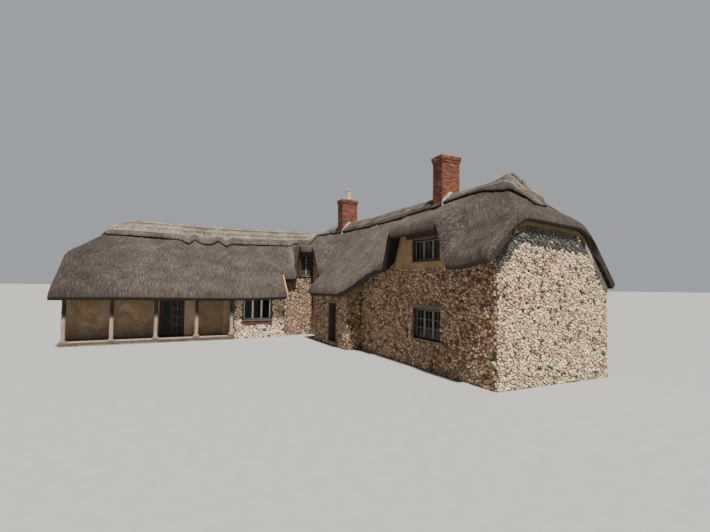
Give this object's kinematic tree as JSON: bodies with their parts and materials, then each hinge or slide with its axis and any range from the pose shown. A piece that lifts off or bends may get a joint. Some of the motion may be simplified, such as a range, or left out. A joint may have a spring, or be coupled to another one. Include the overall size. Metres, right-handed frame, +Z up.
{
  "type": "thatched cottage",
  "caption": "L-shaped thatched cottage with a two-storey stone range, a lower wing with a posted veranda, brick chimneys and an eyebrow dormer.",
  "frame": {"origin": "on the ground under the middle of the main range", "axes": "+Z up, +Y along the main range away from its near gable, +X towards the rear of the main range; the wing runs along -X"},
  "size_m": [19.3997, 21.8797, 9.7603],
  "materials": {
    "thatch": "weathered water-reed thatch, grey-brown, matte",
    "ridge_thatch": "newer straw ridge, pale buff, matte",
    "rubble_stone": "pinkish-buff rubble with small dark flints and lime mortar",
    "limewash": "cream limewash with ochre stains",
    "brick": "orange-red brick, weathered",
    "weathered_timber": "silver-grey weathered oak",
    "floor_stone": "worn stone",
    "floor_boards": "plain boards",
    "window_frame": "white paint, satin",
    "dark_timber": "dark brown paint, satin",
    "window_glass": "dark window glass",
    "clay_pot": "buff fired clay",
    "lead": "pale grey lead and mortar flashing",
    "ironwork": "black iron latches and hinges"
  },
  "bodies": {
    "house": {"main_front_thatch": "thatch", "main_rear_thatch": "thatch", "near_half_hip_thatch": "thatch", "far_half_hip_thatch": "thatch", "valley_thatch": "thatch", "wing_front_thatch": "thatch", "wing_corner_thatch": "thatch", "wing_rear_thatch": "thatch", "wing_half_hip_thatch": "thatch", "main_ridge_cap": "ridge_thatch", "wing_ridge_cap": "ridge_thatch", "near_gable_wall": "rubble_stone", "far_gable_wall": "rubble_stone", "main_front_wall": "rubble_stone", "main_rear_wall": "rubble_stone", "outshut_near_wall": "rubble_stone", "outshut_door_lintel": "rubble_stone", "outshut_far_wall": "rubble_stone", "inner_corner_wall": "rubble_stone", "garden_room_wall": "rubble_stone", "wing_end_wall": "rubble_stone", "wing_rear_wall": "rubble_stone", "veranda_wall_left": "limewash", "veranda_wall_over_door": "limewash", "veranda_wall_right": "limewash", "main_floor": "floor_stone", "wing_floor": "floor_stone", "veranda_floor": "floor_stone", "post_pad_1": "floor_stone", "post_pad_2": "floor_stone", "post_pad_3": "floor_stone", "post_pad_4": "floor_stone", "post_pad_5": "floor_stone", "main_upper_floor": "floor_boards", "veranda_post_1": "weathered_timber", "veranda_post_2": "weathered_timber", "veranda_post_3": "weathered_timber", "veranda_post_4": "weathered_timber", "veranda_post_5": "weathered_timber", "veranda_plate": "weathered_timber", "near_chimney": "brick", "far_chimney": "brick", "chimney_pot": "clay_pot", "eyebrow_window": "dark_timber", "front_window": "dark_timber", "veranda_door_frame": "dark_timber", "front_door_frame": "dark_timber", "garden_room_window": "window_frame", "corner_window": "window_frame", "rear_window_1": "window_frame", "rear_window_2": "window_frame", "rear_window_3": "window_frame", "wing_rear_window_1": "window_frame", "wing_rear_window_2": "window_frame"},
    "veranda_leaf_left": {"veranda_leaf_left": "dark_timber"},
    "veranda_leaf_right": {"veranda_leaf_right": "dark_timber"},
    "front_door_leaf": {"front_door_leaf": "dark_timber"}
  },
  "joints": [
    {"name": "veranda_left_hinge", "type": "hinge", "parent": "house", "child": "veranda_leaf_left", "pos_m": [-11.5867, 5.385, 0.22], "axis": [0, 0, 1], "range_deg": [0, 90]},
    {"name": "veranda_right_hinge", "type": "hinge", "parent": "house", "child": "veranda_leaf_right", "pos_m": [-10.4533, 5.385, 0.22], "axis": [0, 0, -1], "range_deg": [0, 90]},
    {"name": "front_door_hinge", "type": "hinge", "parent": "house", "child": "front_door_leaf", "pos_m": [-3.185, 0.4967, 0.22], "axis": [0, 0, 1], "range_deg": [0, 90]}
  ]
}
